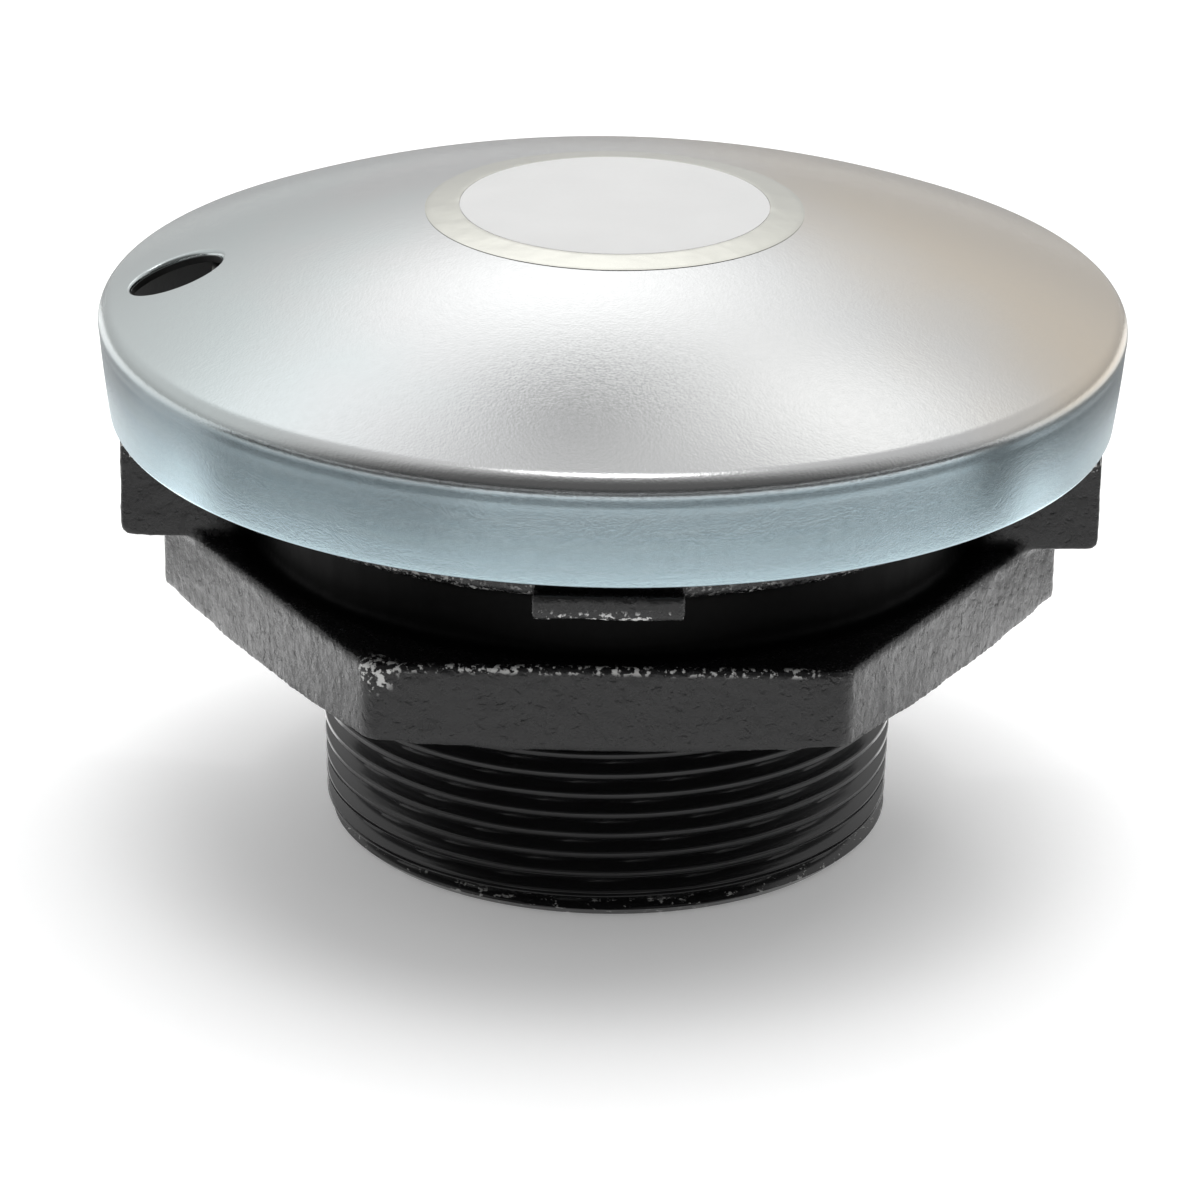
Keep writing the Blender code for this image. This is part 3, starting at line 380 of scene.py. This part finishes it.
bm = bmesh.new()
bm.from_mesh(nodes["base_casting"].data)
bmesh.ops.remove_doubles(bm, verts=bm.verts, dist=0.001 * MM)
cut = bmesh.ops.bisect_plane(bm, geom=bm.verts[:] + bm.edges[:] + bm.faces[:],
                             plane_co=(0, 0, HEX_BOTTOM + 0.02 * MM), plane_no=(0, 0, 1),
                             clear_inner=True)["geom_cut"]
bmesh.ops.triangle_fill(bm, use_beauty=True, use_dissolve=False,
                        edges=[e for e in cut if isinstance(e, bmesh.types.BMEdge)])
bmesh.ops.recalc_face_normals(bm, faces=bm.faces)
cast_mesh = bpy.data.meshes.new("cast_body")
bm.to_mesh(cast_mesh)
bm.free()
cast_body = link("cast_body", cast_mesh, black_paint)
skin = cast_body.modifiers.new("skin", "REMESH")
skin.mode = "VOXEL"
skin.voxel_size = CASTING_CELL
soften = cast_body.modifiers.new("soften", "SMOOTH")
soften.factor = 0.5
soften.iterations = 4
cast_mesh = finished(cast_body)
points = np.zeros(len(cast_mesh.vertices) * 3)
cast_mesh.vertices.foreach_get("co", points)
points = points.reshape(-1, 3)
outward = np.array([n.vector for n in cast_mesh.vertex_normals])
reach = np.hypot(points[:, 0], points[:, 1])
as_cast = np.clip((reach - CAST_FROM_RADIUS) / MM, 0, 1)
as_cast *= np.clip((RIM_TOP - 0.3 * MM - points[:, 2]) / (0.5 * MM), 0, 1)
in_groove = np.clip((39.6 * MM - reach) / MM, 0, 1) * (points[:, 2] > HEX_TOP - 0.4 * MM)
as_cast *= 1 - GROOVE_SMOOTHNESS * in_groove
relief = np.zeros(len(points))
for size, depth in (SAND_COARSE, SAND_MIDDLE, SAND_FINE):
    relief += depth * np.array([noise.noise(Vector(p) / size) for p in points])
points += outward * (relief * as_cast)[:, None]
cast_mesh.vertices.foreach_set("co", points.ravel())
cast_mesh.shade_smooth()
cast_mesh.update()
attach(cast_body, "base")


# Spigot. The tapered pipe thread is cut in the casting after it is cast, so its crests are even,
# and the paint that covers them is smoother than on the rest.
PIPE_RADIUS = 30.15 * MM
BORE_RADIUS = 25.5 * MM
THREAD_PITCH = 25.4 / 11.5 * MM
THREAD_DEPTH = 1.05 * MM
THREAD_TAPER = 1 / 32
CREST_SHARE = 0.22
SPIGOT_CHAMFER = 1.2 * MM
THREAD_ROWS = 200
THREAD_COLUMNS = 288
THREAD_TOP = HEX_BOTTOM + 0.4 * MM


def thread_radius(height, angle):
    """Radius of the thread's skin: a crest every pitch, run out at the chamfered end."""
    cone = PIPE_RADIUS - (HEX_BOTTOM - height) * THREAD_TAPER
    phase = (height / THREAD_PITCH - angle / (2 * pi)) % 1
    fall = max((abs(phase - 0.5) * 2 - CREST_SHARE) / (1 - CREST_SHARE), 0)
    cut_in = THREAD_DEPTH * fall
    end_cone = PIPE_RADIUS - HEX_BOTTOM * THREAD_TAPER - SPIGOT_CHAMFER + height * 1.1
    return min(cone - cut_in, end_cone)


thread_iron = Shader(bpy.data.materials.new("painted_thread"))
lathe = thread_iron.grain(1.2 * MM, 3, 0.5, stretch=(0.15, 0.15, 2.0))
# Light grey specks on the lowest couple of millimetres of the thread.
low_end_specks = thread_iron.step(thread_iron.grain(1.1 * MM, 3, 0.6, stretch=(1, 1, 2.5)), 0.6, 0.66)
low_end = 1 - thread_iron.step(thread_iron.part_of("Z"), 1.1 * MM, 2.6 * MM)
thread_paint = thread_iron.surface(
    Base_Color=thread_iron.mix(low_end_specks * low_end, (0.006, 0.006, 0.0065), (0.4, 0.4, 0.39)),
    Roughness=0.13 + lathe * 0.1,
    height=lathe, depth=0.015 * MM)

bm = bmesh.new()
rows = []
for row in range(THREAD_ROWS + 1):
    height = THREAD_TOP * row / THREAD_ROWS
    ring = []
    for column in range(THREAD_COLUMNS):
        angle = 2 * pi * column / THREAD_COLUMNS
        radius = thread_radius(height, angle)
        ring.append(bm.verts.new((radius * cos(angle), radius * sin(angle), height)))
    rows.append(ring)
for height in (THREAD_TOP, 0.6 * MM, 0):
    inner = BORE_RADIUS + (0.6 * MM if height == 0 else 0)
    rows.append([bm.verts.new((inner * cos(2 * pi * c / THREAD_COLUMNS),
                               inner * sin(2 * pi * c / THREAD_COLUMNS), height))
                 for c in range(THREAD_COLUMNS)])
for near, far in zip(rows, rows[1:] + rows[:1]):
    for c in range(THREAD_COLUMNS):
        d = (c + 1) % THREAD_COLUMNS
        bm.faces.new((near[c], near[d], far[d], far[c]))
bmesh.ops.recalc_face_normals(bm, faces=bm.faces)
thread_mesh = bpy.data.meshes.new("spigot_thread")
bm.to_mesh(thread_mesh)
bm.free()
thread_mesh.shade_smooth()
thread_mesh.set_sharp_from_angle(angle=radians(50))
spigot_thread = link("spigot_thread", thread_mesh, thread_paint)
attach(spigot_thread, "base")
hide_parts("base_casting")
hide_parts("base_casting")


# Cap shell. A disc of sheet steel pressed to a dome, turned down over a small shoulder into a
# skirt, and zinc plated. The padlock hole is punched through it, which rolls its edge in.
DOME_TOP = 67.2 * MM
DOME_RADIUS = 131.23 * MM
DOME_CENTRE = DOME_TOP - DOME_RADIUS
SHOULDER_RADIUS = 51.2 * MM
SHOULDER_HEIGHT = 56.8 * MM
SHOULDER_ROUND = 2.2 * MM
SKIRT_EDGE_RADIUS = 51.55 * MM
SKIRT_BOTTOM = 45.15 * MM
SHELL_THICKNESS = 1.2 * MM
SHELL_COLUMNS = 240
EDGE_ROUND = 0.35 * MM
INNER_EDGE_ROUND = 0.3 * MM
INNER_SHOULDER_ROUND = 0.5 * MM
SKIRT_BOW = 0.22 * MM
BEAD_DEPTH = 0.14 * MM
BEAD_DROP = 1.5 * MM
HOLE_RADIUS = 4.7 * MM
HOLE_REACH = 44.5 * MM
HOLE_AZIMUTH = radians(184)
HOLE_COLUMNS = 96
HOLE_FLOOR = 50.8 * MM
HOLE_ROLL = (
    # how much wider than the hole and how far above the dome each ring of the punch is, in mm
    (0, -0.42), (0.05, -0.24), (0.16, -0.09), (0.32, 0.0), (0.7, 0.1), (0.9, 3))

zinc = Shader(bpy.data.materials.new("zinc_plated_steel"))
across = zinc.part_of("X")
back = zinc.part_of("Y")
up = zinc.part_of("Z")
clouds = zinc.grain(26 * MM, 3, 0.5)
tint = zinc.grain(15 * MM, 2, 0.5)
mottle = zinc.grain(0.9 * MM, 4, 0.62)
fine = zinc.grain(0.28 * MM, 3, 0.6)
streaks = zinc.grain(2.4 * MM, 4, 0.6, stretch=(0.12, 0.12, 2.5))
on_skirt = 1 - zinc.step(up, 54.2 * MM, 55.8 * MM)
# Painted reflection: the dome's right and back are tinted warm and its left cool, for the warm and
# cool surroundings that the plating mirrors.
painted_warm_reflection = zinc.step(across * 0.8 + back * 0.55 + clouds * (22 * MM), 14 * MM, 42 * MM)
painted_cool_reflection = zinc.step(across * -1 + tint * (30 * MM), 30 * MM, 56 * MM)
dome_colour = zinc.mix(painted_warm_reflection, zinc.mix(painted_cool_reflection, (0.565, 0.57, 0.57), (0.535, 0.585, 0.585)),
                       (0.60, 0.53, 0.435))
# Painted reflection: the skirt runs from pale blue grey at its bottom to dark at its top, for what
# the plating mirrors.
skirt_painted_reflection = zinc.mix(zinc.step(up, 45.5 * MM, 54.5 * MM),
                        (0.50, 0.66, 0.725), (0.155, 0.21, 0.235))
# Painted reflection: a darker speckled patch on the dome's front, for the dark spot the plating
# mirrors there.
from_dark_patch = zinc.node("VectorMath", {"operation": "DISTANCE"}, {
    0: zinc.node("VectorMath", {"operation": "MULTIPLY"}, {0: zinc.place(), 1: (0.6, 1, 0)}),
    1: (-0.6 * MM, -38 * MM, 0)}, output="Value")
painted_dark_reflection = 1 - zinc.step(from_dark_patch + clouds * (6 * MM), 4 * MM, 13 * MM)
specks = zinc.step(zinc.grain(0.3 * MM, 2, 0.6), 0.44, 0.62)
dome_colour = zinc.mix(painted_dark_reflection * specks * 0.35, dome_colour, (0.33, 0.34, 0.34))
plated = zinc.mix(on_skirt, dome_colour, zinc.mix(streaks * 0.45, skirt_painted_reflection, (0.33, 0.38, 0.40)))
reach_out = (across * across + back * back) ** 0.5
from_dome_centre = (across * across + back * back + (up - DOME_CENTRE) ** 2) ** 0.5
# Painted shade: the inside of the shell is near black, hardly metallic and rougher, to keep the gap
# under the skirt dark.
inside = ((1 - zinc.step(reach_out, 51.0 * MM, 51.2 * MM))
          * (1 - zinc.step(from_dome_centre, DOME_RADIUS - 0.6 * MM, DOME_RADIUS - 0.4 * MM)))
zinc_finish = zinc.surface(
    Base_Color=zinc.mix(inside, zinc.mix(mottle * 0.2, plated, (0.42, 0.43, 0.43)),
                        (0.006, 0.006, 0.006)),
    Metallic=1.0 - inside * 0.9,
    Roughness=0.11 + mottle * 0.08 + clouds * 0.04 + on_skirt * 0.08 + inside * 0.4,
    height=mottle * 0.35 + fine * 0.55 + streaks * on_skirt * 0.1, depth=0.035 * MM)


def lathe_arc(radius, centre_radius, centre_height, start, end, count):
    """Outline points on a circle, with angles in radians from the horizontal."""
    return [(centre_radius + radius * cos(start + (end - start) * i / count),
             centre_height + radius * sin(start + (end - start) * i / count))
            for i in range(count + 1)]


def lathe_turn(name, outline, columns):
    """Turn (radius, height) points about the axis into a closed mesh, in order round the wall."""
    bm = bmesh.new()
    rings = []
    for radius, height in outline:
        if radius < 0.001 * MM:
            rings.append([bm.verts.new((0, 0, height))] * columns)
        else:
            rings.append([bm.verts.new((radius * cos(2 * pi * c / columns),
                                        radius * sin(2 * pi * c / columns), height))
                          for c in range(columns)])
    closed = rings + rings[:1] if outline[0][0] > 0.001 * MM else rings
    for near, far in zip(closed, closed[1:]):
        for c in range(columns):
            d = (c + 1) % columns
            corners = dict.fromkeys((near[c], near[d], far[d], far[c]))
            if len(corners) > 2:
                bm.faces.new(list(corners))
    bmesh.ops.recalc_face_normals(bm, faces=bm.faces)
    mesh = bpy.data.meshes.new(name)
    bm.to_mesh(mesh)
    bm.free()
    mesh.shade_smooth()
    return mesh


edge_slope = asin(SHOULDER_RADIUS / DOME_RADIUS)
round_centre = (SHOULDER_RADIUS - SHOULDER_ROUND * sin(edge_slope),
                SHOULDER_HEIGHT - SHOULDER_ROUND * cos(edge_slope))
widest = round_centre[0] + SHOULDER_ROUND
outline = lathe_arc(DOME_RADIUS, 0, DOME_CENTRE, pi / 2, pi / 2 - edge_slope, 70)
outline += lathe_arc(SHOULDER_ROUND, *round_centre, pi / 2 - edge_slope, 0, 14)[1:]
for i in range(1, 9):
    drop = BEAD_DROP * i / 8
    outline.append((widest - BEAD_DEPTH * (0.5 - 0.5 * cos(pi * i / 8)), round_centre[1] - drop))
skirt_top = outline[-1]
for i in range(1, 13):
    share = i / 12
    bow = SKIRT_BOW * share * (1 - share)
    outline.append((skirt_top[0] + (SKIRT_EDGE_RADIUS - skirt_top[0]) * share + bow,
                    skirt_top[1] + (SKIRT_BOTTOM + EDGE_ROUND - skirt_top[1]) * share))
outline += lathe_arc(EDGE_ROUND, SKIRT_EDGE_RADIUS - EDGE_ROUND, SKIRT_BOTTOM + EDGE_ROUND,
                     0, -pi / 2, 4)[1:]
inside_skirt = SKIRT_EDGE_RADIUS - SHELL_THICKNESS
outline += lathe_arc(INNER_EDGE_ROUND, inside_skirt + INNER_EDGE_ROUND,
                     SKIRT_BOTTOM + INNER_EDGE_ROUND, -pi / 2, -pi, 4)
outline += lathe_arc(INNER_SHOULDER_ROUND, *round_centre, 0, pi / 2 - edge_slope, 4)
outline += lathe_arc(DOME_RADIUS - SHELL_THICKNESS, 0, DOME_CENTRE,
                     pi / 2 - edge_slope, pi / 2, 40)[1:]
outline[0] = (0, outline[0][1])
outline[-1] = (0, outline[-1][1])
shell_mesh = lathe_turn("domed_cap", outline, SHELL_COLUMNS)
domed_cap = link("domed_cap", shell_mesh, zinc_finish)

hole_x = HOLE_REACH * cos(HOLE_AZIMUTH)
hole_y = HOLE_REACH * sin(HOLE_AZIMUTH)
bm = bmesh.new()
punch_rings = []
for widen, above in ((0, None), *HOLE_ROLL):
    ring = []
    for c in range(HOLE_COLUMNS):
        angle = 2 * pi * c / HOLE_COLUMNS
        x = hole_x + (HOLE_RADIUS + widen * MM) * cos(angle)
        y = hole_y + (HOLE_RADIUS + widen * MM) * sin(angle)
        surface = DOME_CENTRE + sqrt(DOME_RADIUS ** 2 - x * x - y * y)
        ring.append(bm.verts.new((x, y, HOLE_FLOOR if above is None else surface + above * MM)))
    punch_rings.append(ring)
for near, far in zip(punch_rings, punch_rings[1:]):
    for c in range(HOLE_COLUMNS):
        d = (c + 1) % HOLE_COLUMNS
        bm.faces.new((near[c], near[d], far[d], far[c]))
bm.faces.new(punch_rings[0])
bm.faces.new(punch_rings[-1])
bmesh.ops.recalc_face_normals(bm, faces=bm.faces)
punch_mesh = bpy.data.meshes.new("punch")
bm.to_mesh(punch_mesh)
bm.free()
punch = bpy.data.objects.new("punch", punch_mesh)
bpy.context.scene.collection.objects.link(punch)
punched = domed_cap.modifiers.new("punched", "BOOLEAN")
punched.operation = "DIFFERENCE"
punched.solver = "EXACT"
punched.object = punch
shell_mesh = finished(domed_cap)
bpy.data.objects.remove(punch)
shell_mesh.shade_smooth()
shell_mesh.set_sharp_from_angle(angle=radians(42))
bent = [Vector(n.vector) for n in shell_mesh.corner_normals]
for face in shell_mesh.polygons:
    for corner in face.loop_indices:
        point = shell_mesh.vertices[shell_mesh.loops[corner].vertex_index].co
        from_centre = point - Vector((0, 0, DOME_CENTRE))
        flat = face.normal.dot(from_centre.normalized())
        if abs(from_centre.length - DOME_RADIUS) < 0.004 * MM and flat > 0.9995:
            bent[corner] = from_centre.normalized()
shell_mesh.normals_split_custom_set(bent)
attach(domed_cap, "cap")
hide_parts("cap_shell")


# Sticker. A white vinyl disc on the crown, left bare, inside a wider clear ring that has
# yellowed a little.
LABEL_RADIUS = 15.75 * MM
BORDER_INNER = 15.8 * MM
BORDER_OUTER = 19.3 * MM
STICKER_LIFT = 0.02 * MM
STICKER_THICKNESS = 0.07 * MM
STICKER_EDGE = 0.08 * MM
STICKER_COLUMNS = 160


def sticker_layer(name, inner, outer):
    """A thin layer bent to the crown, with its upper edges rounded."""
    low = DOME_RADIUS + STICKER_LIFT
    high = low + STICKER_THICKNESS
    radii = [inner + (outer - inner) * i / 12 for i in range(13)]
    top = []
    for radius in radii:
        side = min(radius - inner if inner > 0 else outer, outer - radius)
        sink = max(0, 1 - side / STICKER_EDGE) ** 2 * STICKER_EDGE / 2
        angle = asin(radius / DOME_RADIUS)
        top.append(((high - sink) * sin(angle), DOME_CENTRE + (high - sink) * cos(angle)))
    bottom = [(low * sin(asin(r / DOME_RADIUS)), DOME_CENTRE + low * cos(asin(r / DOME_RADIUS)))
              for r in radii]
    return lathe_turn(name, bottom + top[::-1], STICKER_COLUMNS)


vinyl = Shader(bpy.data.materials.new("white_sticker"))
ripple = vinyl.grain(7 * MM, 2, 0.4)
tooth = vinyl.grain(0.5 * MM, 3, 0.6)
white_vinyl = vinyl.surface(
    Base_Color=vinyl.mix(ripple, (0.555, 0.555, 0.55), (0.61, 0.61, 0.605)),
    Roughness=0.35 + tooth * 0.15,
    height=ripple * 0.8 + tooth * 0.05, depth=0.08 * MM)
film = Shader(bpy.data.materials.new("clear_film"))
yellowing = film.grain(9 * MM, 3, 0.5)
edge_ripple = film.grain(3 * MM, 2, 0.4)
clear_film = film.surface(
    Base_Color=film.mix(yellowing, (0.55, 0.55, 0.50), (0.62, 0.615, 0.565)),
    Roughness=0.2 + yellowing * 0.1,
    Metallic=0.95,
    height=edge_ripple, depth=0.08 * MM)
for name, node, inner, outer, material, slot in (
        ("sticker_disc", "label_disc", 0, LABEL_RADIUS, white_vinyl, "white_sticker"),
        ("sticker_border", "label_border", BORDER_INNER, BORDER_OUTER, clear_film, "clear_film")):
    layer_mesh = sticker_layer(name, inner, outer)
    layer_mesh.set_sharp_from_angle(angle=radians(50))
    layer = link(name, layer_mesh, material)
    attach(layer, "cap")
    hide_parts(node)


# Pressed steel inside the cap: the bayonet plate with its two tongues, the gasket carrier, the
# slip washer, the nut, the splash guard, and the cage with its screws.
pressed = Shader(bpy.data.materials.new("pressed_steel"))
rolled = pressed.grain(0.8 * MM, 4, 0.6, stretch=(1, 0.12, 1))
oil_film = pressed.grain(11 * MM, 3, 0.5)
pressed_steel = pressed.surface(
    Base_Color=pressed.mix(oil_film, (0.44, 0.44, 0.43), (0.56, 0.56, 0.54)),
    Metallic=1.0,
    Roughness=0.3 + rolled * 0.14,
    height=rolled, depth=0.02 * MM)
for node in ("bayonet_plate", "gasket_carrier", "slip_washer", "valve_nut", "splash_guard",
             "valve_cage", "cage_screw_1", "cage_screw_2", "cage_screw_3"):
    paint(node, pressed_steel)


# Springs and the stem clip. Hard drawn wire and strip, tempered dark and lightly oiled. A spring
# rides on the piece at its seat.
tempered = Shader(bpy.data.materials.new("spring_steel"))
scale_film = tempered.grain(2.4 * MM, 3, 0.6)
spring_steel = tempered.surface(
    Base_Color=tempered.mix(scale_film, (0.24, 0.24, 0.25), (0.38, 0.37, 0.37)),
    Metallic=1.0,
    Roughness=0.26 + scale_film * 0.2,
    height=scale_film, depth=0.01 * MM)
paint("stem_clip", spring_steel)
for node, body, joint, travel, seat in (
        ("wave_spring", "slip", "carrier_lift", 1.2 * MM, "top"),
        ("pressure_spring", "pressure_valve", "pressure_relief", 2.5 * MM, "bottom"),
        ("vacuum_spring", "vacuum_valve", "vacuum_inlet", 1.8 * MM, "top")):
    spring_mesh = nodes[node].data.copy()
    spring_mesh.transform(nodes[node].matrix_world)
    spring_mesh.shade_smooth()
    spring_mesh.set_sharp_from_angle(angle=radians(50))
    spring = link(node + "_wire", spring_mesh, spring_steel)
    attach(spring, body)
    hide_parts(node)
    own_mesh(spring)


# Brass. The valve's body, screen, disc and poppet are turned from bar, which leaves fine rings.
turned = Shader(bpy.data.materials.new("turned_brass"))
tool_x = turned.part_of("X")
tool_y = turned.part_of("Y")
tool_reach = (tool_x * tool_x + tool_y * tool_y) ** 0.5
rings = (tool_reach * (2 * pi / (0.35 * MM))).math("SINE", tool_reach * (2 * pi / (0.35 * MM)))
tarnish = turned.grain(5 * MM, 4, 0.6)
turned_brass = turned.surface(
    Base_Color=turned.mix(tarnish, (0.78, 0.57, 0.27), (0.60, 0.43, 0.20)),
    Metallic=1.0,
    Roughness=0.22 + tarnish * 0.16,
    height=rings * 0.5 + 0.5, depth=0.006 * MM)
for node in ("valve_body", "vent_screen", "pressure_disc", "vacuum_poppet"):
    paint(node, turned_brass)


# Seals. Black nitrile rubber, dull, with a bloom of dust, and one washer of red fibre.
nitrile = Shader(bpy.data.materials.new("nitrile_rubber"))
bloom = nitrile.grain(1.4 * MM, 4, 0.65)
nitrile_rubber = nitrile.surface(
    Base_Color=nitrile.mix(bloom, (0.012, 0.012, 0.012), (0.035, 0.035, 0.034)),
    Roughness=0.62 + bloom * 0.25,
    height=bloom, depth=0.03 * MM)
for node in ("neck_gasket", "inner_seal", "pressure_seal", "vacuum_seal"):
    paint(node, nitrile_rubber)
fibre = Shader(bpy.data.materials.new("red_fibre"))
strands = fibre.grain(0.7 * MM, 4, 0.7, stretch=(1, 1, 4))
red_fibre = fibre.surface(
    Base_Color=fibre.mix(strands, (0.26, 0.05, 0.03), (0.42, 0.11, 0.07)),
    Roughness=0.7 + strands * 0.2,
    height=strands, depth=0.04 * MM)
paint("valve_washer", red_fibre)
